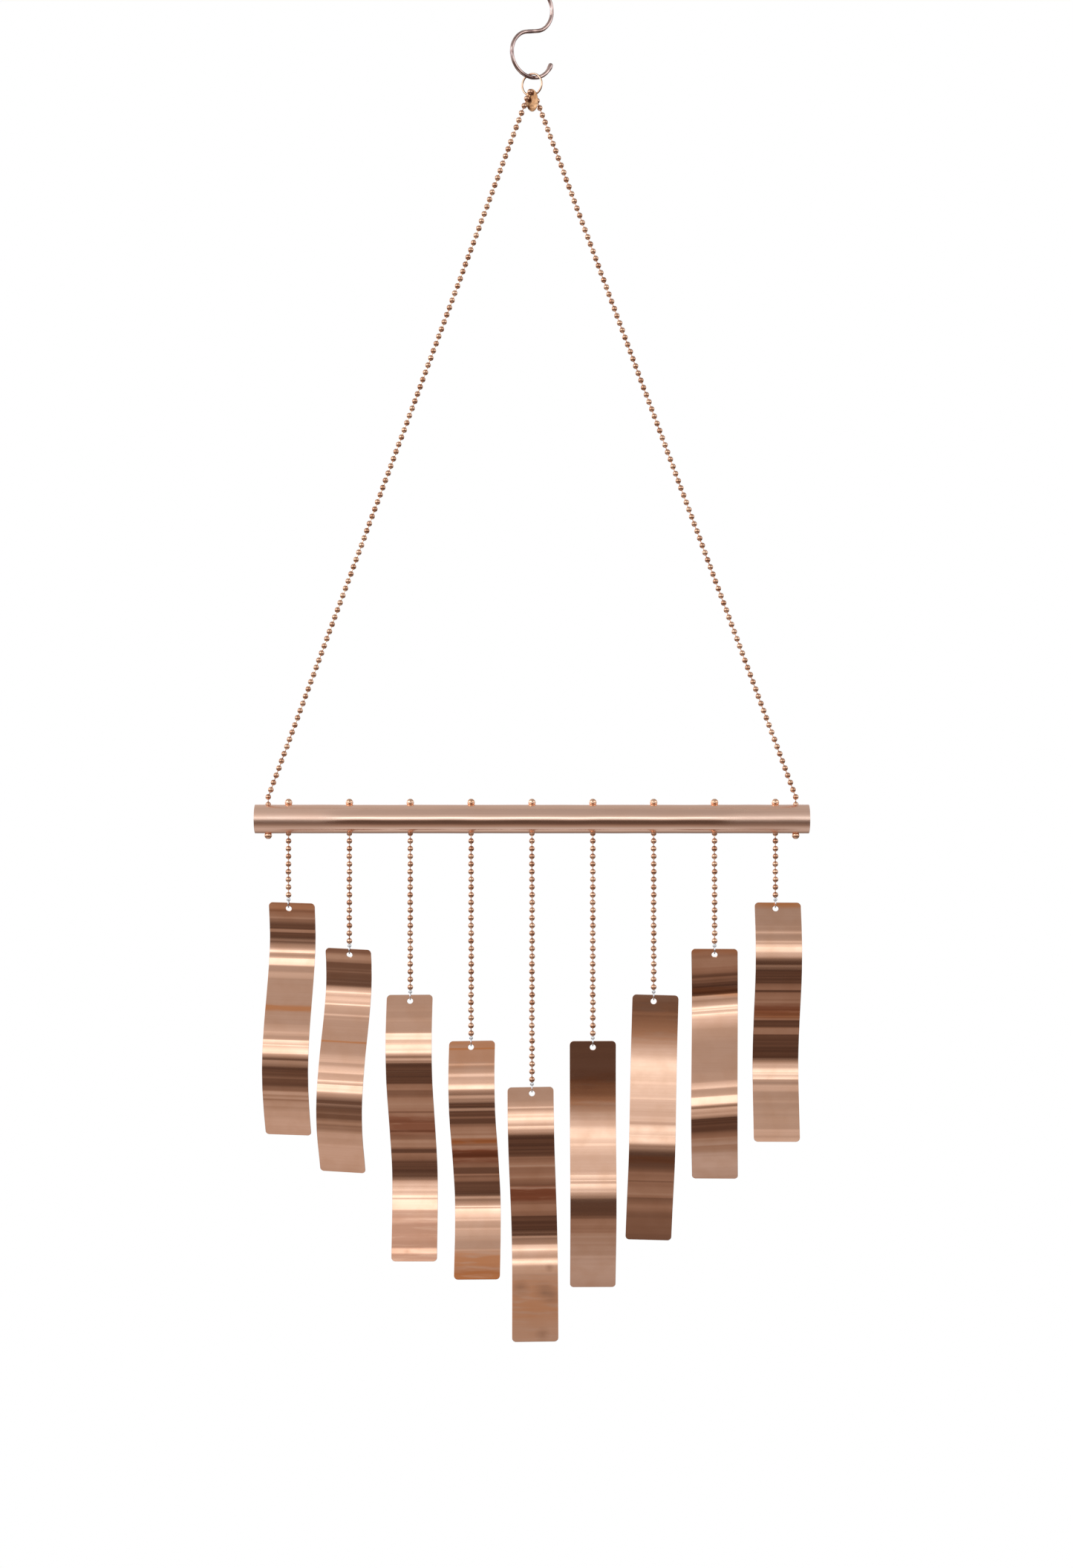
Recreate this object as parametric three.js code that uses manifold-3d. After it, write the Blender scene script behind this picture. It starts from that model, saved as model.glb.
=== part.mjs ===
// Copper wind chime: wavy strips on bead chains, hung from a tube that a chain, a ring and an S-hook carry.
// Units are mm, Z is up and -Y is the front. The origin is the hook's saddle, where it rests on a rod.
import * as THREE from "three";
import { mergeVertices } from "three/addons/utils/BufferGeometryUtils.js";
import Module from "manifold-3d";

const wasm = await Module();
wasm.setup();

// Ball chain, No. 6
const BEAD_R = 1.6;
const BEAD_FLAT = 0.6;
const LINK_R = 0.32;
const PITCH = 4.233;
const CHAIN_SIDES = 5;
const JOINT_GAP = 0.25;

// S-hook
const HOOK_R = 12.7;
const HOOK_WIRE = 2.2;
const HOOK_TIP_R = 1.45;
const HOOK_TIP_DROP = 20;
const HOOK_STEPS = 17;
const HOOK_WAIST_STEPS = 8;
const HOOK_STEP = 70 / 5.5;
const HOOK_WAIST_LEAN = 12;
const HOOK_TURN = 30;

// Hanger ring and oval tag
const RING_R = 5.9;
const RING_WIRE = 1.1;
const RING_GAP = 0.3;
const RING_SPLIT = 0.35;
const RING_SPLIT_AT = -63;
const RING_TURN = -25;
const TAG_W = 7.4;
const TAG_H = 12.6;
const TAG_THICK = 0.4;
const TAG_HOLE_R = 1.4;
const TAG_RIM = 0.5;
const TAG_STANDOFF = 1.1;
const TAG_TILT = 6;

// Chain over the hanger ring
const APEX_RISE = 1.35;
const APEX_FRONT = 2.35;
const APEX_BACK = 1.88;
const SHOULDER_X = 2.8;
const SHOULDER_Y = 2.3;
const SHOULDER_DROP = 3.75;
const LEG_BEADS = 98;

// Cross tube
const TUBE_LENGTH = 304.8;
const TUBE_R = 15.875 / 2;
const TUBE_WALL = 0.7;
const TUBE_SIDES = 20;
const TUBE_Z = -457.7;
const LEG_X = 145.2;
const DROP_PITCH = 33.5;
const SNUG_HOLE_R = 1.95;
const LOOSE_HOLE_R = 2.2;

// Crimped stop balls
const STOP_R = 2.1;
const STOP_BORE_R = 0.62;
const STOP_RISE = 1.1;
const BEADS_IN_TUBE = 4;

// Eye at the foot of each drop, and the split link through it
const EYE_R = 0.8;
const EYE_WIRE = 0.56;
const EYE_DROP = 2.6;
const LINK_RING_R = 2.1;
const LINK_RING_WIRE = 0.7;
const LINK_RING_DROP = 2.63;

// Strips
const STRIP_W = 25.4;
const STRIP_THICK = 0.5;
const STRIP_CORNER = 2.2;
const STRIP_STEPS = 30;
const STRIP_MARGIN = 1.85;
const STRIP_HOLE_R = 1.7;
const STRIP_GAP = 0.35;

// Each drop, left to right: full beads under the tube, height of its strip, turn about the vertical, roll
// that takes its foot to the left, how far the strip's middle is to the right of its hole, and how far the
// strip leans back (degrees, positive where it faces up) at eleven even levels, top to bottom.
const DROPS = [
  {
    beads: 8, height: 129.0, turn: -3, roll: 1.6, shift: 1.8,
    lean: [-27, -22, 4, 17, 22, 19, 9, -8, -25, -33, -38],
  },
  {
    beads: 14, height: 124.6, turn: -6, roll: 2.5, shift: -0.6,
    lean: [-27, -19, 6, 17, 22, 14, 8, -10, -27, -37, -34],
  },
  {
    beads: 20, height: 147.6, turn: -4, roll: -0.7, shift: -0.3,
    lean: [26, 17, 5, -12, -26, -23, -22, 1, 10, 15, 12],
  },
  {
    beads: 26, height: 130.2, turn: -5, roll: -1.4, shift: 0.5,
    lean: [28, 20, 5, -12, -27, -19, -18, 6, 17, 24, 24],
  },
  {
    beads: 32, height: 138.2, turn: -2, roll: -1.2, shift: -0.8,
    lean: [26, 10, -3, -24, -22, -22, -1, 13, 25, 28, 30],
  },
  {
    beads: 26, height: 139.8, turn: 0, roll: -0.2, shift: 0,
    lean: [-14, -9, -3, 2, 10, 13, 3, -20, -29, -33, -33],
  },
  {
    beads: 20, height: 136.6, turn: 0, roll: 1.5, shift: 1.0,
    lean: [-5, -3, 1, 8, 10, 12, 3, -19, -24, -18, -19],
  },
  {
    beads: 14, height: 128.2, turn: -5, roll: 0, shift: 0,
    lean: [-29, -25, -3, 9, 20, 21, 13, 0, -24, -35, -36],
  },
  {
    beads: 8, height: 131.4, turn: 0, roll: 0.2, shift: 1.3,
    lean: [28, 19, 4, -13, -27, -21, -17, 5, 17, 17, 14],
  },
];

const rad = THREE.MathUtils.degToRad;

const finish = (color, roughness, metalness) =>
  new THREE.MeshStandardMaterial({ color, roughness, metalness });
const STRIP_COPPER = finish(0xc48f6c, 0.34, 1);
const TUBE_COPPER = finish(0xc08a70, 0.3, 1);
const CHAIN_COPPER = finish(0xb8683c, 0.22, 1);
const HOOK_COPPER = finish(0x9a7468, 0.3, 1);
const RING_COPPER = finish(0xd6a47a, 0.22, 1);
const TAG_COPPER = finish(0xb97a45, 0.35, 1);
const LINK_STEEL = finish(0xb9bcc0, 0.25, 1);

// Solids

function solid(geometry) {
  const bare = new THREE.BufferGeometry();
  bare.setAttribute("position", geometry.getAttribute("position"));
  bare.setIndex(geometry.getIndex());
  const merged = mergeVertices(bare, 1e-4);
  const vertProperties = Float32Array.from(merged.getAttribute("position").array);
  const triVerts = Uint32Array.from(merged.getIndex().array);
  return new wasm.Manifold(new wasm.Mesh({ numProp: 3, vertProperties, triVerts }));
}

function geometryOf(manifold) {
  const mesh = manifold.getMesh();
  const indexed = new THREE.BufferGeometry();
  indexed.setAttribute("position", new THREE.BufferAttribute(mesh.vertProperties, 3));
  indexed.setIndex(new THREE.BufferAttribute(mesh.triVerts, 1));
  const flat = indexed.toNonIndexed();
  flat.computeVertexNormals();
  return flat;
}

function addMesh(group, name, shape, material) {
  const geometry = shape instanceof THREE.BufferGeometry ? shape : geometryOf(shape);
  const mesh = new THREE.Mesh(geometry, material);
  mesh.name = name;
  group.add(mesh);
  return mesh;
}

function latheUp(profile, sides) {
  return new THREE.LatheGeometry(profile, sides).rotateX(Math.PI / 2);
}

function rod(radius, length, sides) {
  return new THREE.CylinderGeometry(radius, radius, length, sides);
}

// A straight run of chain down -Z. The first bead's centre is at z = 0; the stubs run past the end beads.
function straightChain(beads, pitch, topStub, bottomStub) {
  const profile = [new THREE.Vector2(0, topStub), new THREE.Vector2(LINK_R, topStub)];
  for (let i = 0; i < beads; i += 1) {
    const z = -i * pitch;
    profile.push(new THREE.Vector2(LINK_R, z + BEAD_R));
    profile.push(new THREE.Vector2(BEAD_R, z + BEAD_FLAT));
    profile.push(new THREE.Vector2(BEAD_R, z - BEAD_FLAT));
    if (i === beads - 1) {
      profile.push(new THREE.Vector2(LINK_R, z - BEAD_R));
    }
  }
  const end = -(beads - 1) * pitch - bottomStub;
  profile.push(new THREE.Vector2(LINK_R, end), new THREE.Vector2(0, end));
  return latheUp(profile.reverse(), CHAIN_SIDES);
}

// The same run laid from one point towards another.
function chainBetween(from, to, beads, topStub, bottomStub) {
  const down = new THREE.Vector3(0, 0, -1);
  const direction = to.clone().sub(from);
  const pitch = beads > 1 ? direction.length() / (beads - 1) : PITCH;
  const geometry = straightChain(beads, pitch, topStub, bottomStub);
  const turn = new THREE.Quaternion().setFromUnitVectors(down, direction.normalize());
  return geometry.applyQuaternion(turn).translate(from.x, from.y, from.z);
}

// S-hook

const HOOK_SADDLE = (HOOK_R - HOOK_WIRE / 2) * Math.cos(rad(HOOK_STEP / 2));
const HOOK_MID_Z = -HOOK_SADDLE - HOOK_R;

// Centreline of the hook in the XZ plane about its middle: two round bowls joined by a waist.
class HookLine extends THREE.Curve {
  constructor() {
    super();
    const span = rad(HOOK_STEP * HOOK_STEPS);
    this.start = rad(-HOOK_TIP_DROP);
    this.span = span;
    this.share = HOOK_STEPS / (2 * HOOK_STEPS + HOOK_WAIST_STEPS);
    const end = this.start - span;
    const lean = rad(HOOK_WAIST_LEAN);
    const from = new THREE.Vector3(HOOK_R * Math.cos(end), 0, HOOK_R * (Math.sin(end) - 1));
    const along = new THREE.Vector3(Math.sin(end), 0, -Math.cos(end));
    const reach = from.length() / 3;
    const waist = new THREE.Vector3(Math.cos(lean), 0, Math.sin(lean));
    this.waist = new THREE.CubicBezierCurve3(
      from,
      from.clone().addScaledVector(along, reach),
      waist.clone().multiplyScalar(-reach),
      new THREE.Vector3(),
    );
  }

  getPoint(t, target = new THREE.Vector3()) {
    const upper = t > 0.5;
    const u = upper ? 1 - t : t;
    if (u <= this.share) {
      const angle = this.start - this.span * (u / this.share);
      target.set(HOOK_R * Math.cos(angle), 0, HOOK_R * (Math.sin(angle) - 1));
    } else {
      target.copy(this.waist.getPoint((u - this.share) / (0.5 - this.share)));
    }
    return upper ? target.negate() : target;
  }

  getPointAt(u, target) {
    return this.getPoint(u, target);
  }

  getTangentAt(u, target) {
    return this.getTangent(u, target);
  }
}

function ngon(radius, sides) {
  const corners = [];
  for (let i = 0; i < sides; i += 1) {
    const angle = ((i + 0.5) * 2 * Math.PI) / sides;
    corners.push(new THREE.Vector2(radius * Math.cos(angle), radius * Math.sin(angle)));
  }
  return new THREE.Shape(corners);
}

function hookShape() {
  const line = new HookLine();
  const section = ngon(HOOK_WIRE / 2 / Math.cos(Math.PI / 8), 8);
  const options = { steps: 2 * HOOK_STEPS + HOOK_WAIST_STEPS, extrudePath: line };
  let hook = solid(new THREE.ExtrudeGeometry(section, options));
  for (const end of [0, 1]) {
    const p = line.getPoint(end);
    hook = hook.add(solid(new THREE.SphereGeometry(HOOK_TIP_R, 8, 6).translate(p.x, p.y, p.z)));
  }
  return hook;
}

// Hanger ring

const HOOK_FOOT_Z = HOOK_MID_Z - 2 * HOOK_R;
const RING_Z = HOOK_FOOT_Z + HOOK_WIRE / 2 + RING_WIRE / 2 + RING_GAP - RING_R;
const RING_FOOT_Z = RING_Z - RING_R;
const APEX_Z = RING_FOOT_Z + APEX_RISE;

function hangerRingShape() {
  const ring = new THREE.TorusGeometry(RING_R, RING_WIRE / 2, 8, 24);
  const split = new THREE.BoxGeometry(RING_WIRE * 2, RING_SPLIT, RING_WIRE * 2);
  split.translate(RING_R, 0, 0).rotateZ(rad(RING_SPLIT_AT));
  return solid(ring).subtract(solid(split));
}

function tagShape() {
  const outline = new THREE.Shape();
  const centre = TAG_HOLE_R + TAG_RIM - TAG_H / 2;
  outline.absellipse(0, centre, TAG_W / 2, TAG_H / 2, 0, 2 * Math.PI, false, 0);
  const hole = new THREE.Path();
  hole.absarc(0, 0, TAG_HOLE_R, 0, 2 * Math.PI, true);
  outline.holes.push(hole);
  const options = { depth: TAG_THICK, bevelEnabled: false, curveSegments: 16 };
  return new THREE.ExtrudeGeometry(outline, options).translate(0, 0, -TAG_THICK / 2);
}

// Chain over the ring: side -1 is the left leg, in front of the ring, and side 1 the right leg, behind it.

const TUBE_TOP = TUBE_Z + TUBE_R;
const TUBE_FOOT = TUBE_Z - TUBE_R;
const STOP_TOP_Z = TUBE_TOP + STOP_RISE;
const STOP_FOOT_Z = TUBE_FOOT - STOP_RISE;
const LEG_END_Z = STOP_FOOT_Z + (BEADS_IN_TUBE + 1) * PITCH;

function ringDepth(depth, z) {
  const turn = rad(-RING_TURN);
  return new THREE.Vector3(Math.sin(turn) * depth, Math.cos(turn) * depth, z);
}

function legShape(side) {
  const apex = ringDepth(side < 0 ? -APEX_FRONT : APEX_BACK, APEX_Z);
  const shoulder = new THREE.Vector3(side * SHOULDER_X, side * SHOULDER_Y, APEX_Z - SHOULDER_DROP);
  const foot = new THREE.Vector3(side * LEG_X, 0, LEG_END_Z);
  const apexLink = side < 0 ? APEX_FRONT + APEX_BACK - BEAD_R - JOINT_GAP : BEAD_R;
  const across = ringDepth(side < 0 ? 1 : -1, 0).add(apex);
  const run = chainBetween(shoulder, foot, LEG_BEADS, BEAD_R, PITCH / 2 - JOINT_GAP);
  const first = chainBetween(apex, shoulder, 1, BEAD_R, apex.distanceTo(shoulder));
  const link = chainBetween(apex, across, 1, BEAD_R, apexLink);
  return solid(run).add(solid(first)).add(solid(link));
}

// Tube, its drilled holes and the crimped stop balls

const dropX = (i) => (i - (DROPS.length - 1) / 2) * DROP_PITCH;

function tubeShape() {
  const tube = rod(TUBE_R, TUBE_LENGTH, TUBE_SIDES).rotateZ(Math.PI / 2);
  const bore = rod(TUBE_R - TUBE_WALL, TUBE_LENGTH + 2, TUBE_SIDES).rotateZ(Math.PI / 2);
  let shape = solid(tube).subtract(solid(bore));
  const holes = DROPS.map((_, i) => [dropX(i), SNUG_HOLE_R, LOOSE_HOLE_R]);
  holes.push([-LEG_X, LOOSE_HOLE_R, SNUG_HOLE_R], [LEG_X, LOOSE_HOLE_R, SNUG_HOLE_R]);
  for (const [x, top, bottom] of holes) {
    for (const [radius, side] of [[top, 1], [bottom, -1]]) {
      const drill = rod(radius, TUBE_R, 10).rotateX(Math.PI / 2);
      shape = shape.subtract(solid(drill.translate(x, 0, side * TUBE_R)));
    }
  }
  return shape;
}

function stopShape() {
  const profile = [];
  const mouth = Math.asin(STOP_BORE_R / STOP_R);
  for (let i = 0; i <= 5; i += 1) {
    const angle = mouth + ((Math.PI - 2 * mouth) * i) / 5;
    profile.push(new THREE.Vector2(STOP_R * Math.sin(angle), -STOP_R * Math.cos(angle)));
  }
  profile.push(profile[0].clone());
  return latheUp(profile, 8);
}

// The beads hidden in the tube, from the stop ball to the half bead that shows at the far hole.
function tubeChain() {
  return straightChain(BEADS_IN_TUBE, PITCH, PITCH, PITCH / 2 - JOINT_GAP);
}

// Drops

function dropShape(beads) {
  const last = -(beads - 1) * PITCH;
  const run = straightChain(beads, PITCH, PITCH / 2 - JOINT_GAP, EYE_DROP - EYE_R);
  const eye = new THREE.TorusGeometry(EYE_R, EYE_WIRE / 2, 6, 10).rotateX(Math.PI / 2);
  return solid(run).add(solid(eye.translate(0, 0, last - EYE_DROP)));
}

function linkRingShape() {
  return new THREE.TorusGeometry(LINK_RING_R, LINK_RING_WIRE / 2, 6, 14).rotateY(Math.PI / 2);
}

// Side view of a strip as (y, z) points down its middle, with z = 0 at the top edge.
function stripLine({ height, lean }) {
  const leans = new THREE.SplineCurve(lean.map((angle, i) => new THREE.Vector2(i, angle)));
  const step = height / STRIP_STEPS;
  const line = [new THREE.Vector2(0, 0)];
  for (let i = 0; i < STRIP_STEPS; i += 1) {
    const angle = rad(leans.getPoint((i + 0.5) / STRIP_STEPS).y);
    const previous = line[i];
    line.push(new THREE.Vector2(previous.x - Math.tan(angle) * step, previous.y - step));
  }
  return line;
}

function stripShape(drop) {
  const line = stripLine(drop);
  const topLean = rad(drop.lean[0]);
  const away = new THREE.Vector2(Math.cos(topLean), -Math.sin(topLean));
  const down = new THREE.Vector2(-Math.sin(topLean), -Math.cos(topLean));
  const rim = down.clone().multiplyScalar(STRIP_MARGIN);
  const hole = down.clone().multiplyScalar(STRIP_MARGIN + STRIP_HOLE_R);

  const front = [];
  const back = [];
  line.forEach((point, i) => {
    const before = line[Math.max(i - 1, 0)];
    const after = line[Math.min(i + 1, STRIP_STEPS)];
    const along = after.clone().sub(before).normalize();
    const half = new THREE.Vector2(-along.y, along.x).multiplyScalar(STRIP_THICK / 2);
    back.push(point.clone().add(half));
    front.push(point.clone().sub(half));
  });
  const section = new THREE.Shape([...front, ...back.reverse()]);
  const ribbon = new THREE.ExtrudeGeometry(section, { depth: STRIP_W, bevelEnabled: false });
  ribbon.translate(0, 0, drop.shift - STRIP_W / 2).applyMatrix4(
    new THREE.Matrix4().makeBasis(
      new THREE.Vector3(0, 1, 0),
      new THREE.Vector3(0, 0, 1),
      new THREE.Vector3(1, 0, 0),
    ),
  );

  const blank = roundedBlank(STRIP_W + 0.02, drop.height + 0.4, STRIP_CORNER);
  blank.rotateX(Math.PI / 2).translate(drop.shift, 50, -drop.height / 2);
  const drill = rod(STRIP_HOLE_R, 5, 10).rotateX(-topLean).translate(0, hole.x, hole.y);
  const shape = solid(ribbon).intersect(solid(blank)).subtract(solid(drill));
  return shape.translate([0, -rim.x, -rim.y]);
}

function roundedBlank(width, height, corner) {
  const x = width / 2;
  const y = height / 2;
  const outline = new THREE.Shape();
  outline.moveTo(-x + corner, -y);
  outline.lineTo(x - corner, -y);
  outline.absarc(x - corner, -y + corner, corner, -Math.PI / 2, 0, false);
  outline.lineTo(x, y - corner);
  outline.absarc(x - corner, y - corner, corner, 0, Math.PI / 2, false);
  outline.lineTo(-x + corner, y);
  outline.absarc(-x + corner, y - corner, corner, Math.PI / 2, Math.PI, false);
  outline.lineTo(-x, -y + corner);
  outline.absarc(-x + corner, -y + corner, corner, Math.PI, Math.PI * 1.5, false);
  return new THREE.ExtrudeGeometry(outline, { depth: 100, bevelEnabled: false, curveSegments: 3 });
}

// Assembly

const chime = new THREE.Group();
chime.name = "wind_chime";

const hook = addMesh(chime, "s_hook", hookShape(), HOOK_COPPER);
hook.position.z = HOOK_MID_Z;
hook.rotation.z = rad(HOOK_TURN);

const ring = addMesh(chime, "hanger_ring", geometryOf(hangerRingShape()).rotateX(Math.PI / 2), RING_COPPER);
ring.position.z = RING_Z;
ring.rotation.z = rad(RING_TURN);

const tagGeometry = tagShape().rotateZ(rad(TAG_TILT)).rotateX(Math.PI / 2);
const tag = addMesh(chime, "oval_tag", tagGeometry, TAG_COPPER);
tag.position.copy(ringDepth(-TAG_STANDOFF, APEX_Z));
tag.rotation.z = rad(RING_TURN);

addMesh(chime, "leg_chain_left", legShape(-1), CHAIN_COPPER);
addMesh(chime, "leg_chain_right", legShape(1), CHAIN_COPPER);

const tube = addMesh(chime, "cross_tube", tubeShape(), TUBE_COPPER);
tube.position.z = TUBE_Z;

for (const [side, x] of [["left", -LEG_X], ["right", LEG_X]]) {
  const stop = addMesh(chime, `leg_stop_${side}`, stopShape(), CHAIN_COPPER);
  stop.position.set(x, 0, STOP_FOOT_Z);
  const tail = addMesh(chime, `leg_tail_${side}`, tubeChain(), CHAIN_COPPER);
  tail.position.set(x, 0, STOP_FOOT_Z + PITCH);
  tail.rotation.x = Math.PI;
}

DROPS.forEach((drop, i) => {
  const group = new THREE.Group();
  group.name = `drop_${i + 1}`;
  group.position.set(dropX(i), 0, STOP_TOP_Z);
  chime.add(group);

  addMesh(group, `stop_ball_${i + 1}`, stopShape(), CHAIN_COPPER);
  const head = addMesh(group, `chain_head_${i + 1}`, tubeChain(), CHAIN_COPPER);
  head.position.z = -PITCH;
  const run = addMesh(group, `drop_chain_${i + 1}`, dropShape(drop.beads), CHAIN_COPPER);
  run.position.z = -(BEADS_IN_TUBE + 1) * PITCH;

  const lastBead = -(BEADS_IN_TUBE + drop.beads) * PITCH;
  const link = addMesh(group, `link_ring_${i + 1}`, linkRingShape(), LINK_STEEL);
  link.position.z = lastBead - LINK_RING_DROP - LINK_RING_R;
  const strip = addMesh(group, `strip_${i + 1}`, stripShape(drop), STRIP_COPPER);
  const saddle = link.position.z - LINK_RING_R + LINK_RING_WIRE / 2;
  strip.position.z = saddle + STRIP_GAP;
  strip.rotation.z = rad(drop.turn);
  strip.rotation.y = rad(drop.roll);
});

export default chime;
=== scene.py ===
"""Copper wind chime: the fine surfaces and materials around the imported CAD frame. Lengths are in metres."""

import math
import random

import bpy
from mathutils import Matrix, Vector
from mathutils.bvhtree import BVHTree


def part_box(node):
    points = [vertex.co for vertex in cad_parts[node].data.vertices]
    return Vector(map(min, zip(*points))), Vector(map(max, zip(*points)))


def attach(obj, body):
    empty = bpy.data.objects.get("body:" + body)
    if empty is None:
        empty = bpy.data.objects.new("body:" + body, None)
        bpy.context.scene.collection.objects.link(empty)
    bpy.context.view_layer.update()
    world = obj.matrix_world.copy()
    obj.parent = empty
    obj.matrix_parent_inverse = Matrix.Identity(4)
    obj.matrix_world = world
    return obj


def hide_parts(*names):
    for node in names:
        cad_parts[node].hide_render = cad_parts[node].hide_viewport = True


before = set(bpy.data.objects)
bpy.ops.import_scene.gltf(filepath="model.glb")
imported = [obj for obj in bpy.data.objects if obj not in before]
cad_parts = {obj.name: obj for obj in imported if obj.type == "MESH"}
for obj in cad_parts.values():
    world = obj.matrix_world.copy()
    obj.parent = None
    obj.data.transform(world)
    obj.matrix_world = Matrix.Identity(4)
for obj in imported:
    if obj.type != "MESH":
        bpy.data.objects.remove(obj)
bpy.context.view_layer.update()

MM = 0.001
UP = Vector((0, 0, 1))
DROPS = 9

# Ball chain
BEAD_R = 1.6 * MM
BEAD_WALL = 0.22 * MM
BEAD_MOUTH = 0.55 * MM
PITCH = 4.233 * MM
LINK_R = 0.3 * MM
LINK_BALL_R = 0.6 * MM
LINK_BALL_AT = 0.75 * MM
ELBOW_R = 0.36 * MM
ELBOW_GAP = 0.04 * MM
BEADS_IN_TUBE = 4
BEAD_SIDES = 16
LINK_SIDES = 8
LEG_PLAY = 0.05 * MM
DROP_PLAY = 0.09 * MM

# Stop balls
STOP_R = 2.1 * MM
STOP_BORE_R = 0.62 * MM
STOP_SIDES = 36
STOP_STEPS = 18

# The pressed seam of a stop ball and the flats beside it: depths as a share of the radius, angles in radians
SEAM_DEPTH = 0.10
SEAM_HALF = 0.13
CHEEK_DEPTH = 0.04
CHEEK_HALF = 0.35
CHEEK_AT = 0.55

# Hanging chain over the ring
APEX_RISE = 1.35 * MM
APEX_FRONT = 2.35 * MM
APEX_BACK = 1.88 * MM
SHOULDER_X = 2.8 * MM
SHOULDER_Y = 2.3 * MM
SHOULDER_DROP = 3.75 * MM
LEG_BEADS = 98

# S-hook and hanger ring
HOOK_R = 12.7 * MM
HOOK_WIRE_R = 1.1 * MM
HOOK_TIP_R = 1.45 * MM
HOOK_TIP_DROP = math.radians(20)
HOOK_SWEEP = math.radians(70 / 5.5 * 17)
HOOK_WAIST_LEAN = math.radians(12)
HOOK_TURN = math.radians(30)
HOOK_STEPS = 64
HOOK_WAIST_STEPS = 24
HOOK_SIDES = 20
HOOK_WAVES = 6
WAVE_TURN = 6.28
TIP_STEPS = 6
TIP_REACH = 0.8
TIP_LEAST = 0.12
SWELL_STEPS = 14
SWELL_PEAK = 1.5
SWELL_HALF = 3.2
RING_R = 5.9 * MM
RING_WIRE_R = 0.55 * MM
RING_SPLIT = 0.35 * MM
RING_SPLIT_AT = math.radians(-63)
RING_TURN = math.radians(-25)
RING_STEPS = 96
RING_SIDES = 18
RING_END = 0.86

# Oval tag
TAG_W = 7.4 * MM
TAG_H = 12.6 * MM
TAG_THICK = 0.4 * MM
TAG_HOLE_R = 1.4 * MM
TAG_RIM = 0.5 * MM
TAG_STANDOFF = 1.1 * MM
TAG_TILT = math.radians(6)
TAG_EDGE = 0.1 * MM
TAG_DISH = 0.22 * MM
TAG_AROUND = 64
TAG_ACROSS = 14

# Cross tube
TUBE_WALL = 0.7 * MM
SNUG_HOLE_R = 1.95 * MM
LOOSE_HOLE_R = 2.2 * MM
HOLE_CELLS = 8
TUBE_BLOCK = 6.4 * MM
TUBE_CELL = 4 * MM
TUBE_SIDE_CELLS = 18
TUBE_WAVES = 6
LEG_HOLE_PAST = 5 * MM

# Eyes and link rings
EYE_R = 0.8 * MM
EYE_WIRE_R = 0.28 * MM
EYE_DROP = 2.6 * MM
LINK_RING_R = 2.1 * MM
LINK_RING_WIRE_R = 0.35 * MM
LINK_RING_SPLIT = math.radians(7)
LINK_RING_STEPS = 40
LINK_RING_SIDES = 12
EYE_STEPS = 24
EYE_START = 75
EYE_SWEEP = 330
EYE_SIDES = 10

# Strips
STRIP_W = 25.4 * MM
STRIP_THICK = 0.5 * MM
STRIP_CORNER = 2.2 * MM
STRIP_HOLE_R = 1.7 * MM
STRIP_HOLE_AT = 3.55 * MM
STRIP_BLOCK = 4.8 * MM
STRIP_STRAIGHT = 6 * MM
SIDE_CELLS = 8
HEAD_STEPS = 4
FOOT_STEPS = 6
FLAT_TILT = math.radians(4.4)
FLAT_CALM = 0.42
FLAT_STEEP = math.tan(math.radians(13))
FLAT_RUNS = (2, 2, 3, 4, 5, 7, 10, 13)
FLAT_LEVEL = 5 * MM
ROW = 0.35 * MM
SHEET_EDGE = 0.07 * MM

# Camera and stage
VIEW_DISTANCE = 1.4
VIEW_HEIGHT = 0.863
VIEW_TOP = -0.007
VIEW_X = 0.0025
SENSOR = 36.0
FLOOR_DROP = 2.2
FLOOR_R = 2.2
FLOOR_SIDES = 96
FADE_START = 0.45
FADE_END = 0.97
GLOW_LOW = 0.14
GLOW_HIGH = 0.60
AIM = Vector((0, 0, -0.45))


# Mesh building

class Shells:
    """Closed shells gathered into one mesh piece. Each vertex may carry its place on the flat sheet."""

    def __init__(self):
        self.points = []
        self.faces = []
        self.sheet = []

    def add(self, points, faces, matrix=None):
        start = len(self.points)
        self.points += [matrix @ p for p in points] if matrix else list(points)
        self.faces += [tuple(i + start for i in face) for face in faces]

    def piece(self, name, material, body, replaces=(), slot=None, sharp=35):
        mesh = bpy.data.meshes.new(name)
        mesh.from_pydata([tuple(p) for p in self.points], [], self.faces)
        mesh.polygons.foreach_set("use_smooth", [True] * len(mesh.polygons))
        mesh.set_sharp_from_angle(angle=math.radians(sharp))
        if self.sheet:
            flat = mesh.attributes.new("sheet", "FLOAT_VECTOR", "POINT")
            flat.data.foreach_set("vector", [c for s in self.sheet for c in s])
        mesh.materials.append(material)
        mesh.update()
        piece = bpy.data.objects.new(name, mesh)
        bpy.context.scene.collection.objects.link(piece)
        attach(piece, body)
        if replaces:
            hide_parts(*replaces)
        return piece


def turned(profile, sides, looped):
    """A (radius, height) profile turned about Z. It ends on the axis at both ends unless it is looped."""
    points, rows = [], []
    for radius, height in profile:
        if radius < 1e-9:
            rows.append([len(points)] * sides)
            points.append(Vector((0, 0, height)))
            continue
        rows.append([len(points) + k for k in range(sides)])
        for k in range(sides):
            angle = 2 * math.pi * k / sides
            points.append(Vector((radius * math.cos(angle), radius * math.sin(angle), height)))
    faces = []
    count = len(rows) if looped else len(rows) - 1
    for i in range(count):
        a, b = rows[i], rows[(i + 1) % len(rows)]
        for k in range(sides):
            j = (k + 1) % sides
            face = list(dict.fromkeys((a[k], b[k], b[j], a[j])))
            faces.append(tuple(face))
    return points, faces


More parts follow.
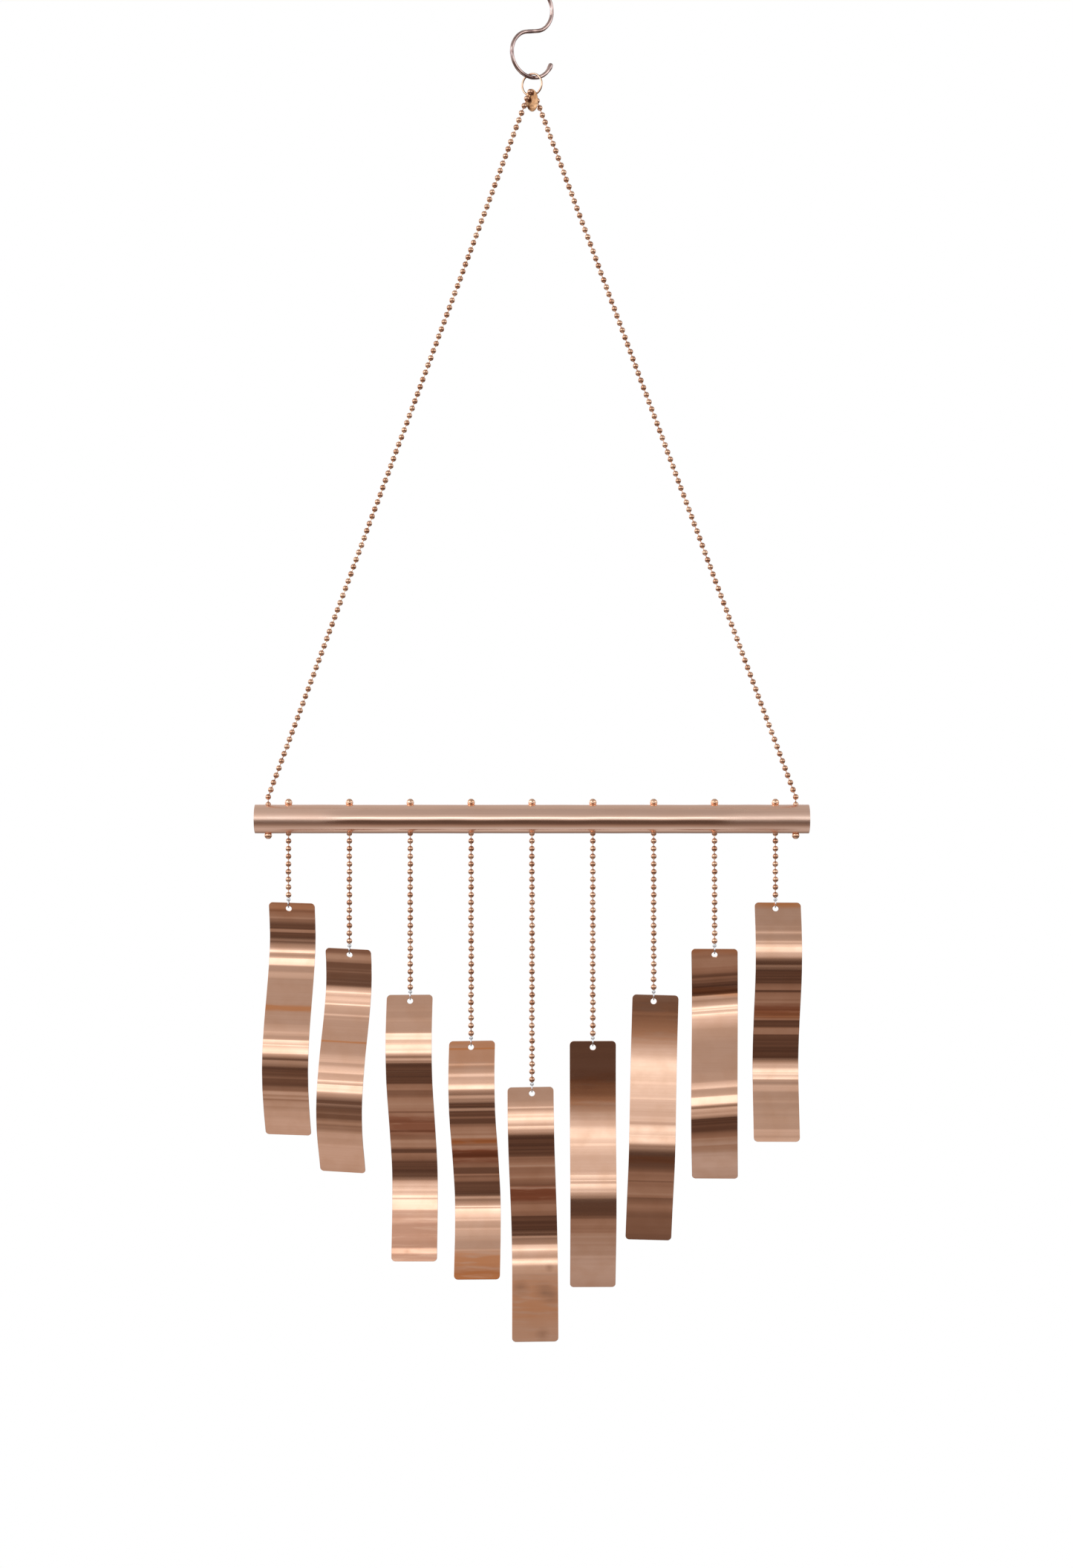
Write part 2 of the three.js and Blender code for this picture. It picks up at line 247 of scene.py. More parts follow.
def swept(line, radii, sides):
    """A round wire along a line of points, with one radius for each point and a flat cap at each open end."""
    count = len(line)
    points, faces = [], []
    across = None
    for i, centre in enumerate(line):
        before = line[i - 1] if i else line[0]
        after = line[i + 1] if i < count - 1 else line[-1]
        along = (after - before).normalized()
        if across is None:
            across = along.orthogonal().normalized()
        across = (across - along * across.dot(along)).normalized()
        side = along.cross(across)
        for k in range(sides):
            angle = 2 * math.pi * k / sides
            points.append(centre + (across * math.cos(angle) + side * math.sin(angle)) * radii[i])
    for i in range(count - 1):
        a, b = i * sides, (i + 1) * sides
        for k in range(sides):
            j = (k + 1) % sides
            faces.append((a + k, a + j, b + j, b + k))
    faces.append(tuple(reversed(range(sides))))
    faces.append(tuple((count - 1) * sides + k for k in range(sides)))
    return points, faces


def arc(radius, start, end, steps, rise=0.0):
    """(radius, height) points round a ball whose centre is at height rise; angles are from the top."""
    turn = [start + (end - start) * i / steps for i in range(steps + 1)]
    return [(radius * math.sin(a), rise + radius * math.cos(a)) for a in turn]


def towards(point, direction, spin=0.0):
    """The matrix that puts a shell's origin at point and its +Z along direction."""
    turn = UP.rotation_difference(direction).to_matrix().to_4x4()
    return Matrix.Translation(point) @ turn @ Matrix.Rotation(spin, 4, "Z")


def spread(*runs):
    """Numbers from runs of (start, end, count), each shared end given once."""
    numbers = [runs[0][0]]
    for start, end, count in runs:
        numbers += [start + (end - start) * i / count for i in range(1, count + 1)]
    return numbers


def sheet_shell(us, vs, holes, place, half, wrap=False):
    """A closed sheet over the grid us by vs. place(u, v, s) puts a point s off the middle of its thickness.
    Each hole (i, j, cells, radius) is round and fills a block of cells whose first corner is us[i], vs[j]."""
    rows = len(vs) - 1 if wrap else len(vs)
    index, flat = {}, []

    def corner(i, j):
        key = (i, j % rows if wrap else j)
        if key not in index:
            index[key] = len(flat)
            flat.append((us[i], vs[key[1]], 0.0, 0.0))
        return index[key]

    faces, borders, taken = [], [], set()
    for i0, j0, cells, radius in holes:
        u, v = (us[i0] + us[i0 + cells]) / 2, (vs[j0] + vs[j0 + cells]) / 2
        taken |= {(i0 + a, j0 + b) for a in range(cells) for b in range(cells)}
        ring = [(i0 + a, j0) for a in range(cells)] + [(i0 + cells, j0 + b) for b in range(cells)]
        ring += [(i0 + cells - a, j0 + cells) for a in range(cells)]
        ring += [(i0, j0 + cells - b) for b in range(cells)]
        outer = [corner(i, j) for i, j in ring]
        block = us[i0 + cells] - us[i0]
        for share in (0.4, 0.0):
            inner = []
            for i, j in ring:
                du, dv = us[i] - u, vs[j] - v
                reach = math.hypot(du, dv)
                size = radius + (min(reach, 0.55 * block) - radius) * share
                inner.append(len(flat))
                last = share == 0.0
                flat.append((u + du / reach * size, v + dv / reach * size,
                             -du / reach if last else 0.0, -dv / reach if last else 0.0))
            for k in range(len(ring)):
                n = (k + 1) % len(ring)
                faces.append((outer[k], outer[n], inner[n], inner[k]))
            outer = inner
        borders.append(list(reversed(outer)))
    for i in range(len(us) - 1):
        for j in range(len(vs) - 1):
            if (i, j) not in taken:
                faces.append((corner(i, j), corner(i + 1, j), corner(i + 1, j + 1), corner(i, j + 1)))
    last_u, last_v = len(us) - 1, len(vs) - 1
    if wrap:
        borders.append([corner(0, j) for j in reversed(range(rows))])
        borders.append([corner(last_u, j) for j in range(rows)])
        push = {**{(0, j): (-1, 0) for j in range(rows)}, **{(last_u, j): (1, 0) for j in range(rows)}}
    else:
        loop = [(i, 0) for i in range(last_u)] + [(last_u, j) for j in range(last_v)]
        loop += [(i, last_v) for i in range(last_u, 0, -1)] + [(0, j) for j in range(last_v, 0, -1)]
        borders.append([corner(i, j) for i, j in loop])
        push = {(i, j): ((i == last_u) - (i == 0), (j == last_v) - (j == 0)) for i, j in loop}
    for (i, j), (pu, pv) in push.items():
        k = index[(i, j)]
        flat[k] = (flat[k][0] - pu * SHEET_EDGE, flat[k][1] - pv * SHEET_EDGE, pu, pv)

    count = len(flat)
    points = [place(u, v, -half) for u, v, _, _ in flat] + [place(u, v, half) for u, v, _, _ in flat]
    sheet = [(u, v, 0.0) for u, v, _, _ in flat] * 2
    shell = [tuple(face) for face in faces]
    shell += [tuple(k + count for k in reversed(face)) for face in faces]
    for border in borders:
        start = len(points)
        for side in (-1, 1):
            for k in border:
                u, v, pu, pv = flat[k]
                u, v = u + pu * SHEET_EDGE, v + pv * SHEET_EDGE
                points.append(place(u, v, side * (half - SHEET_EDGE)))
                sheet.append((u, v, 0.0))
        size = len(border)
        for k in range(size):
            n = (k + 1) % size
            near, far = start + k, start + n
            shell.append((border[n], border[k], near, far))
            shell.append((far, near, near + size, far + size))
            shell.append((far + size, near + size, border[k] + count, border[n] + count))
    return points, shell, sheet


# Node materials

class Graph:
    """A material or world node tree."""

    def __init__(self, owner):
        owner.use_nodes = True
        self.tree = owner.node_tree
        self.tree.nodes.clear()

    def add(self, kind, inputs=None, **settings):
        node = self.tree.nodes.new("ShaderNode" + kind)
        for name, value in settings.items():
            setattr(node, name, value)
        for name, value in (inputs or {}).items():
            socket = node.inputs[name]
            if isinstance(value, bpy.types.NodeSocket):
                self.tree.links.new(value, socket)
            else:
                socket.default_value = value
        return node

    def math(self, operation, a, b=0.0, clamp=False):
        return self.add("Math", {0: a, 1: b}, operation=operation, use_clamp=clamp).outputs[0]

    def scaled(self, value, factor, extra):
        """value * factor + extra"""
        return self.add("Math", {0: value, 1: factor, 2: extra}, operation="MULTIPLY_ADD").outputs[0]

    def smooth(self, value, start, end, low=0.0, high=1.0):
        """low up to start, high from end on, and an easy curve between."""
        inputs = {0: value, 1: start, 2: end, 3: low, 4: high}
        return self.add("MapRange", inputs, interpolation_type="SMOOTHSTEP").outputs[0]

    def mix(self, share, a, b, blend="MIX"):
        node = self.add("Mix", {0: share, 6: a, 7: b}, data_type="RGBA", blend_type=blend)
        return node.outputs[2]

    def ramp(self, value, stops):
        node = self.add("ValToRGB", {"Fac": value})
        band = node.color_ramp
        while len(band.elements) > 1:
            band.elements.remove(band.elements[-1])
        for i, (at, colour) in enumerate(stops):
            stop = band.elements[0] if i == 0 else band.elements.new(at)
            stop.position = at
            stop.color = colour if len(colour) == 4 else (*colour, 1)
        return node.outputs["Color"]

    def noise(self, where, scale, stretch=(1, 1, 1), detail=3.0, shift=(0, 0, 0)):
        moved = self.add("Mapping", {"Vector": where, "Location": shift, "Scale": stretch})
        inputs = {"Vector": moved.outputs[0], "Scale": scale, "Detail": detail}
        return self.add("TexNoise", inputs).outputs["Fac"]

    def bump(self, height, depth, normal=None):
        inputs = {"Height": height, "Distance": depth, "Strength": 1.0}
        if normal:
            inputs["Normal"] = normal
        return self.add("Bump", inputs).outputs[0]

    def metal(self, colour, roughness, normal, **extra):
        inputs = {"Base Color": colour, "Metallic": 1.0, "Roughness": roughness, "Normal": normal, **extra}
        shader = self.add("BsdfPrincipled", inputs)
        self.add("OutputMaterial", {"Surface": shader.outputs[0]})


def new_graph(name):
    material = bpy.data.materials.new(name)
    return material, Graph(material)


def grey(value):
    return (value, value, value, 1)


STRIP_BASE = (0.83, 0.485, 0.33, 1)
STRIP_WORN = (0.74, 0.40, 0.25, 1)
# Orange of the heat-coloured bands, also used for the painted reflection on strip 1.
HEAT_AND_REFLECTION_ORANGE = (0.80, 0.30, 0.11, 1)
HEAT_BROWN = (0.42, 0.13, 0.06, 1)
SMUDGE = (0.50, 0.25, 0.15, 1)
TUBE_BRIGHT = (1.0, 0.66, 0.50, 1)
TUBE_DULL = (0.93, 0.57, 0.41, 1)
TUBE_LINE = (0.82, 0.50, 0.37, 1)
TUBE_SCRAPE = (0.78, 0.48, 0.35, 1)
WORN_START = 0.118
WORN_END = 0.138
TAG_BRIGHT = (0.36, 0.21, 0.115, 1)
TAG_DARK = (0.23, 0.11, 0.05, 1)


def strip_material(number, length, look):
    """Brushed copper sheet: lines across its width, cloudy oxide, and bands of colour along it: heat colour,
    and on strip 1 a painted reflection.
    """
    material, g = new_graph(f"strip_copper_{number}")
    flat = g.add("Attribute", attribute_name="sheet").outputs["Vector"]
    split = g.add("SeparateXYZ", {0: flat})
    down = g.math("DIVIDE", split.outputs[1], length)
    shift = (0.37 * number, 0.11 * number, 0)
    broad = g.noise(flat, 1, (9, 420, 1), 2.0, shift)
    lines = g.noise(flat, 1, (5, 1500, 1), 3.0, shift)
    brushing = g.noise(flat, 1, (60, 6000, 1), 2.0, shift)
    cloud = g.noise(flat, 90, (1, 1, 1), 4.0, shift)

    colour = g.mix(g.ramp(cloud, [(0.42, grey(0)), (0.75, grey(0.7))]), STRIP_BASE, STRIP_WORN)
    colour = g.mix(g.ramp(lines, [(0.45, grey(0)), (0.75, grey(0.35))]), colour, STRIP_WORN)
    uneven = g.ramp(g.noise(flat, 1, (45, 350, 1), 3.0, shift), [(0.3, grey(0.25)), (0.62, grey(1))])
    # Bands of heat colour; strip 1's thin orange line a little above half way down is a painted reflection.
    for tint, bands in ((HEAT_AND_REFLECTION_ORANGE, look["orange"]), (HEAT_BROWN, look["brown"])):
        for centre, half, strength in bands:
            far = g.math("ABSOLUTE", g.math("SUBTRACT", down, centre))
            near = g.math("SUBTRACT", 1.0, g.math("DIVIDE", far, half), clamp=True)
            share = g.math("MULTIPLY", g.math("MULTIPLY", near, uneven), strength * 2.0, clamp=True)
            colour = g.mix(g.math("MINIMUM", share, strength), colour, tint)
    for at_u, at_v, size, strength in look["smudges"]:
        gone = g.add("VectorMath", {0: flat, 1: (at_u, at_v * length, 0)}, operation="DISTANCE")
        spot = g.math("SUBTRACT", 1.0, g.math("DIVIDE", gone.outputs["Value"], size), clamp=True)
        spot = g.math("MULTIPLY", g.math("MULTIPLY", spot, uneven), strength, clamp=True)
        colour = g.mix(spot, colour, SMUDGE)

    roughness = g.scaled(cloud, 0.10, look["roughness"])
    normal = g.bump(broad, look["streak"] * 6e-6)
    normal = g.bump(lines, look["streak"] * 2.2e-6, normal)
    normal = g.bump(brushing, 1.2e-7, normal)
    g.metal(colour, roughness, normal)
    return material


def wire_material(name, base, worn, roughness, patch, patch_share, depth):
    """Bright or tarnished wire and bead metal: patches of a second colour and a fine uneven skin."""
    material, g = new_graph(name)
    where = g.add("TexCoord").outputs["Object"]
    patches = g.noise(where, patch, (1, 1, 1), 3.0)
    skin = g.noise(where, 2500, (1, 1, 1), 2.0)
    share = g.ramp(patches, [(0.40, grey(0)), (0.66, grey(patch_share))])
    colour = g.mix(share, base, worn)
    rough = g.scaled(skin, 0.10, roughness)
    g.metal(colour, rough, g.bump(skin, depth))
    return material


def tube_material():
    """Satin pipe with faint drawing lines along it, a few smudges, and scraped, duller ends."""
    material, g = new_graph("tube_copper")
    where = g.add("TexCoord").outputs["Object"]
    lines = g.noise(where, 1, (7, 1600, 1600), 3.0)
    broad = g.noise(where, 1, (5, 450, 450), 2.0)
    smudge = g.noise(where, 1, (45, 160, 160), 4.0)
    colour = g.mix(g.ramp(smudge, [(0.45, grey(0)), (0.8, grey(0.5))]), TUBE_BRIGHT, TUBE_DULL)
    colour = g.mix(g.ramp(lines, [(0.5, grey(0)), (0.8, grey(0.3))]), colour, TUBE_LINE)
    out_from_middle = g.math("ABSOLUTE", g.add("SeparateXYZ", {0: where}).outputs[0])
    ragged = g.math("ADD", out_from_middle, g.math("MULTIPLY", g.noise(where, 1, (12, 300, 300), 3.0), 0.04))
    worn = g.smooth(ragged, WORN_START, WORN_END)
    scrape = g.noise(where, 1, (9, 900, 900), 3.0)
    share = g.math("MULTIPLY", g.ramp(scrape, [(0.48, grey(0)), (0.62, grey(0.22))]), worn)
    colour = g.mix(share, colour, TUBE_SCRAPE)
    rough = g.scaled(smudge, 0.08, 0.11)
    rough = g.math("ADD", rough, g.math("MULTIPLY", worn, 0.16))
    normal = g.bump(broad, 2.5e-6)
    normal = g.bump(lines, 8e-7, normal)
    normal = g.bump(g.math("MULTIPLY", scrape, worn), 1.1e-5, normal)
    g.metal(colour, rough, normal)
    return material


def tag_material():
    """Golden copper beaten with a small hammer."""
    material, g = new_graph("tag_copper")
    where = g.add("TexCoord").outputs["Object"]
    dents = g.add("TexVoronoi", {"Vector": where, "Scale": 620.0, "Smoothness": 0.6}, feature="SMOOTH_F1")
    cloud = g.noise(where, 260, (1, 1, 1), 3.0)
    colour = g.mix(g.ramp(cloud, [(0.35, grey(0)), (0.7, grey(0.9))]), TAG_BRIGHT, TAG_DARK)
    rough = g.scaled(cloud, 0.15, 0.26)
    g.metal(colour, rough, g.bump(dents.outputs["Distance"], 1.6e-4))
    return material


def floor_material():
    """Pale matt floor that fades into the white of the studio towards its edge."""
    material, g = new_graph("pale_floor")
    where = g.add("TexCoord").outputs["Object"]
    cloud = g.noise(where, 6, (1, 1, 1), 3.0)
    colour = g.mix(g.ramp(cloud, [(0.3, grey(0)), (0.7, grey(1))]), grey(0.84), grey(0.88))
    out_from_middle = g.add("VectorMath", {0: where}, operation="LENGTH").outputs["Value"]
    glow = g.smooth(out_from_middle, FADE_START * FLOOR_R, FADE_END * FLOOR_R, GLOW_LOW, GLOW_HIGH)
    inputs = {"Base Color": colour, "Roughness": 0.8, "Emission Color": (1, 0.99, 0.98, 1),
              "Emission Strength": glow}
    shader = g.add("BsdfPrincipled", inputs)
    g.add("OutputMaterial", {"Surface": shader.outputs[0]})
    return material


# Chains

def bead_shell():
    """A hollow bead along Z with a round mouth at each end."""
    outer = arc(BEAD_R, math.asin(BEAD_MOUTH / BEAD_R), math.pi - math.asin(BEAD_MOUTH / BEAD_R), 11)
    within = BEAD_R - BEAD_WALL
    mouth = math.asin(BEAD_MOUTH / within)
    return turned(outer + arc(within, math.pi - mouth, mouth, 5), BEAD_SIDES, True)


def link_shell(length, low_ball=True):
    """A link along +Z from the middle of one bead to the next, with a ball inside each.
    Without its low ball it starts as a plain rod, for the half link under a joint."""
    neck = math.asin(LINK_R / LINK_BALL_R)
    low = arc(LINK_BALL_R, math.pi, neck, 4, LINK_BALL_AT) if low_ball else [(0, 0), (LINK_R, 0)]
    high = arc(LINK_BALL_R, math.pi - neck, 0, 4, length - LINK_BALL_AT)
    return turned(low + high, LINK_SIDES, False)


BEAD = bead_shell()


def add_beads(shells, points, dice):
    for i, point in enumerate(points):
        axis = points[min(i + 1, len(points) - 1)] - points[max(i - 1, 0)]
        if axis.length < 1e-9:
            axis = UP
        shells.add(*BEAD, towards(point, axis.normalized(), dice.uniform(0, math.pi)))


def add_links(shells, points):
    for a, b in zip(points, points[1:]):
        shells.add(*link_shell((b - a).length), towards(a, (b - a).normalized()))


def add_elbow(shells, bead, pivot):
    """The half link from a bead to a joint, ending in a small ball on the joint's pivot."""
    reach = (pivot - bead).length
    neck = math.asin(LINK_R / LINK_BALL_R)
    low = arc(LINK_BALL_R, math.pi, neck, 4, LINK_BALL_AT)
    high = arc(ELBOW_R, math.pi - math.asin(LINK_R / ELBOW_R), 0, 5, reach)
    shells.add(*turned(low + high, LINK_SIDES, False), towards(bead, (pivot - bead).normalized()))


def add_half_link(shells, bead, pivot):
    """The half link that meets an elbow's ball and stops just short of it."""
    away = (bead - pivot).normalized()
    start = pivot + away * (ELBOW_R + ELBOW_GAP)
    shells.add(*link_shell((bead - start).length, low_ball=False), towards(start, away))


def straight_beads(top, count):
    return [top - UP * PITCH * k for k in range(count)]


def jitter(points, dice, size):
    """The small sideways play of beads on a slack chain. The first and last stay in line."""
    shifted = []
    for i, p in enumerate(points):
        ends = i in (0, len(points) - 1)
        reach = 0.0 if ends else size
        shifted.append(p + Vector((dice.uniform(-reach, reach), dice.uniform(-reach, reach), 0)))
    return shifted


# Places from the frame

def middle(node):
    low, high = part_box(node)
    return (low + high) / 2


TUBE_LOW, TUBE_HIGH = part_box("cross_tube")
TUBE_R = (TUBE_HIGH.z - TUBE_LOW.z) / 2
TUBE_Z = (TUBE_HIGH.z + TUBE_LOW.z) / 2
RING_FOOT_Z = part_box("hanger_ring")[0].z
RING_Z = RING_FOOT_Z + RING_R + RING_WIRE_R
APEX_Z = RING_Z - RING_R + APEX_RISE


def drop_x(number):
    return middle(f"link_ring_{number}").x


# Pieces

def make_hook(material):
    """Two round bowls joined by an easy waist, with a small rounded swelling at each tip."""
    start = -HOOK_TIP_DROP
    end = start - HOOK_SWEEP
    bowl = []
    for i in range(HOOK_STEPS + 1):
        angle = start - HOOK_SWEEP * i / HOOK_STEPS
        bowl.append(Vector((HOOK_R * math.cos(angle), 0, HOOK_R * (math.sin(angle) - 1))))
    knee = bowl[-1]
    reach = knee.length / 3
    first = knee + Vector((math.sin(end), 0, -math.cos(end))) * reach
    lean = Vector((math.cos(HOOK_WAIST_LEAN), 0, math.sin(HOOK_WAIST_LEAN)))
    second = lean * -reach
    waist = []
    for i in range(1, HOOK_WAIST_STEPS + 1):
        t = i / HOOK_WAIST_STEPS
        waist.append(knee * (1 - t) ** 3 + first * 3 * t * (1 - t) ** 2 + second * 3 * t * t * (1 - t))
    half = bowl + waist
    line = half + [-p for p in reversed(half[:-1])]
    dice = random.Random(5)
    waves = []
    for _ in range(HOOK_WAVES):
        waves.append((dice.uniform(9, 40), dice.uniform(0, WAVE_TURN), dice.uniform(0.004, 0.012)))
    radii = []
    for i in range(len(line)):
        t = i / (len(line) - 1)
        uneven = sum(size * math.sin(rate * WAVE_TURN * t + phase) for rate, phase, size in waves)
        radii.append(HOOK_WIRE_R * (1 + uneven))
    place = Matrix.Translation((0, 0, middle("s_hook").z)) @ Matrix.Rotation(HOOK_TURN, 4, "Z")
    blunt = [math.sqrt(max(0.0, 1 - (1 - i / TIP_STEPS) ** 2)) for i in range(TIP_STEPS)]
    swell = HOOK_TIP_R / HOOK_WIRE_R - 1
    for i in range(SWELL_STEPS):
        share = swell * math.exp(-((i - SWELL_PEAK) / SWELL_HALF) ** 2)
        radii[i] *= 1 + share
        radii[-1 - i] *= 1 + share
    caps = []
    for tip, inward in ((line[0], line[1]), (line[-1], line[-2])):
        out = (tip - inward).normalized()
        cap = []
        for i in range(TIP_STEPS):
            cap.append((tip + out * (HOOK_TIP_R * TIP_REACH) * (1 - i / TIP_STEPS), max(blunt[i], TIP_LEAST)))
        caps.append(cap)
    full = [p for p, _ in caps[0]] + line + [p for p, _ in reversed(caps[1])]
    sizes = [b * radii[0] for _, b in caps[0]] + radii + [b * radii[-1] for _, b in reversed(caps[1])]
    shells = Shells()
    shells.add(*swept(full, sizes, HOOK_SIDES), place)
    shells.piece("hook_wire", material, "s_hook", ["s_hook"], "hook_copper")


def make_ring(material):
    """A wire ring cut through once, with the ends of the cut a little dressed."""
    gap = RING_SPLIT / RING_R
    line, radii = [], []
    for i in range(RING_STEPS + 1):
        angle = RING_SPLIT_AT + gap / 2 + (2 * math.pi - gap) * i / RING_STEPS
        line.append(Vector((RING_R * math.cos(angle), 0, RING_R * math.sin(angle))))
        radii.append(RING_WIRE_R * (RING_END if i in (0, RING_STEPS) else 1))
    place = Matrix.Translation((0, 0, RING_Z)) @ Matrix.Rotation(RING_TURN, 4, "Z")
    shells = Shells()
    shells.add(*swept(line, radii, RING_SIDES), place)
    shells.piece("ring_wire", material, "hanger_ring", ["hanger_ring"], "ring_copper")


def ring_depth(depth, z):
    """A point in front of (negative) or behind the hanger ring's own plane."""
    return Vector((-math.sin(RING_TURN) * depth, math.cos(RING_TURN) * depth, z))


def make_tag(material):
    """A thin oval plate, slightly cupped, with soft edges and a round hole near its top."""
    down = TAG_HOLE_R + TAG_RIM - TAG_H / 2

    def rim(angle):
        """How far the oval's rim is from the middle of the hole."""
        ray = Vector((math.cos(angle), math.sin(angle)))
        a, b = TAG_W / 2, TAG_H / 2
        qa = (ray.x / a) ** 2 + (ray.y / b) ** 2
        qb = -2 * ray.y * down / b ** 2
        qc = (down / b) ** 2 - 1
        return (-qb + math.sqrt(qb * qb - 4 * qa * qc)) / (2 * qa)

    def dish(x, z):
        """How far the cupped plate lies behind its rim's plane."""
        return TAG_DISH * ((x / (TAG_W / 2)) ** 2 + ((z - down) / (TAG_H / 2)) ** 2 - 1)

    points, faces, rings = [], [], []
    for side in (-1, 1):
        for i in range(TAG_ACROSS + 1):
            row = []
            for k in range(TAG_AROUND):
                angle = 2 * math.pi * k / TAG_AROUND
                far = rim(angle)
                start, end = TAG_HOLE_R + TAG_EDGE, far - TAG_EDGE
                reach = start + (end - start) * i / TAG_ACROSS
                x, z = reach * math.cos(angle), reach * math.sin(angle)
                row.append(len(points))
                points.append(Vector((x, side * TAG_THICK / 2 + dish(x, z), z)))
            rings.append(row)
    hole_rings, rim_rings = [], []
    for side in (-1, 1):
        for bucket, reach_at in ((hole_rings, lambda a: TAG_HOLE_R), (rim_rings, rim)):
            row = []
            for k in range(TAG_AROUND):
                angle = 2 * math.pi * k / TAG_AROUND
                reach = reach_at(angle)
                x, z = reach * math.cos(angle), reach * math.sin(angle)
                row.append(len(points))
                points.append(Vector((x, side * (TAG_THICK / 2 - TAG_EDGE) + dish(x, z), z)))
            bucket.append(row)
    front, back = rings[:TAG_ACROSS + 1], rings[TAG_ACROSS + 1:]
    loop = front + [rim_rings[0], rim_rings[1]] + back[::-1] + [hole_rings[1], hole_rings[0]]
    for i in range(len(loop)):
        a, b = loop[i], loop[(i + 1) % len(loop)]
        for k in range(TAG_AROUND):
            n = (k + 1) % TAG_AROUND
            faces.append((a[k], b[k], b[n], a[n]))
    place = Matrix.Translation(ring_depth(-TAG_STANDOFF, APEX_Z))
    place = place @ Matrix.Rotation(RING_TURN, 4, "Z") @ Matrix.Rotation(-TAG_TILT, 4, "Y")
    shells = Shells()
    shells.add(points, faces, place)
    shells.piece("tag_plate", material, "oval_tag", ["oval_tag"], "tag_copper")


def make_legs(material):
    """Left and right runs of the one chain that passes over the hanger ring."""
    for side, name in ((-1, "left"), (1, "right")):
        dice = random.Random(20 + side)
        stop = middle(f"leg_stop_{name}")
        apex = ring_depth(-APEX_FRONT if side < 0 else APEX_BACK, APEX_Z)
        other = ring_depth(APEX_BACK if side < 0 else -APEX_FRONT, APEX_Z)
        shoulder = Vector((side * SHOULDER_X, side * SHOULDER_Y, APEX_Z - SHOULDER_DROP))
        foot = stop + UP * PITCH * (BEADS_IN_TUBE + 1)
        run = [shoulder.lerp(foot, i / (LEG_BEADS - 1)) for i in range(LEG_BEADS)]
        shells = Shells()
        add_beads(shells, [apex] + jitter(run, dice, LEG_PLAY), dice)
        add_links(shells, [apex] + run)
        if side < 0:
            add_links(shells, [apex, other])
        pivot = stop + UP * PITCH * (BEADS_IN_TUBE + 0.5)
        add_half_link(shells, foot, pivot)
        shells.piece(f"leg_beads_{name}", material, "hanger_chain", [f"leg_chain_{name}"], "chain_copper")

        tail = Shells()
        beads = [stop + UP * PITCH * k for k in range(1, BEADS_IN_TUBE + 1)]
        add_beads(tail, beads, dice)
        add_links(tail, [stop] + beads)
        add_elbow(tail, beads[-1], pivot)
        tail.piece(f"leg_tail_beads_{name}", material, "cross_tube", [f"leg_tail_{name}"], "chain_copper")


def make_stop(node, body, crimp, material):
    """A stop ball closed on the chain's end: a bored ball with a pressed seam down one side."""
    mouth = math.asin(STOP_BORE_R / STOP_R)
    profile = arc(STOP_R, mouth, math.pi - mouth, STOP_STEPS)
    bore = [(STOP_BORE_R, STOP_R * math.cos(mouth) * (1 - 2 * i / 4)) for i in range(3, 0, -1)]
    points, faces = turned(profile + bore, STOP_SIDES, True)
    for i, p in enumerate(points[:(STOP_STEPS + 1) * STOP_SIDES]):
        angle = (math.atan2(p.y, p.x) - crimp + math.pi) % (2 * math.pi) - math.pi
        groove = SEAM_DEPTH * math.exp(-(angle / SEAM_HALF) ** 2)
        flat = CHEEK_DEPTH * math.exp(-((abs(angle) - CHEEK_AT) / CHEEK_HALF) ** 2)
        level = max(0.0, 1 - (p.z / STOP_R) ** 2)
        p *= 1 - (groove + flat) * level
    shells = Shells()
    shells.add(points, faces, Matrix.Translation(middle(node)))
    shells.piece(f"{node}_crimped", material, body, [node], "chain_copper", sharp=50)


def make_tube(material):
    """Half-inch pipe with holes through it for each drop, and for the hanging chain near its ends."""
    cells = HOLE_CELLS
    block = TUBE_BLOCK
    mid_r = TUBE_R - TUBE_WALL / 2
    left, right = TUBE_LOW.x, TUBE_HIGH.x
    centres = sorted([drop_x(n) for n in range(1, DROPS + 1)]
                     + [middle("leg_stop_left").x, middle("leg_stop_right").x])
    runs, at = [], left
    starts = []
    for x in centres:
        length = x - block / 2 - at
        count = max(2, round(length / TUBE_CELL))
        runs.append((at, x - block / 2, count))
        starts.append(sum(r[2] for r in runs))
        runs.append((x - block / 2, x + block / 2, cells))
        at = x + block / 2
    runs.append((at, right, 2))
    us = spread(*runs)
    turn = 2 * math.pi * mid_r
    quarter = turn / 4
    side_cells = TUBE_SIDE_CELLS
    gap = quarter * 2 - block
    vs = spread((0, block, cells), (block, block + gap, side_cells),
                (block + gap, block * 2 + gap, cells), (block * 2 + gap, turn, side_cells))
    top_row, foot_row = 0, cells + side_cells
    holes = []
    for x, i in zip(centres, starts):
        leg = abs(x) > abs(drop_x(1)) + LEG_HOLE_PAST
        holes.append((i, top_row, cells, LOOSE_HOLE_R if leg else SNUG_HOLE_R))
        holes.append((i, foot_row, cells, SNUG_HOLE_R if leg else LOOSE_HOLE_R))

    dice = random.Random(71)
    waves = []
    for _ in range(TUBE_WAVES):
        size = dice.uniform(0.008, 0.02) * MM
        rate = 2 * math.pi / (dice.uniform(18, 70) * MM)
        waves.append((size, rate, dice.choice((0, 1, 2, 3)), dice.uniform(0, 2 * math.pi)))

    def place(u, v, s):
        angle = (v - block / 2) / mid_r
        uneven = sum(size * math.sin(u * rate + angle * turns + phase) for size, rate, turns, phase in waves)
        radius = mid_r - s + uneven
        return Vector((u, -math.sin(angle) * radius, TUBE_Z + math.cos(angle) * radius))

    points, faces, _ = sheet_shell(us, vs, holes, place, TUBE_WALL / 2, wrap=True)
    shells = Shells()
    shells.add(points, faces)
    shells.piece("pipe", material, "cross_tube", ["cross_tube"], "tube_copper", sharp=40)


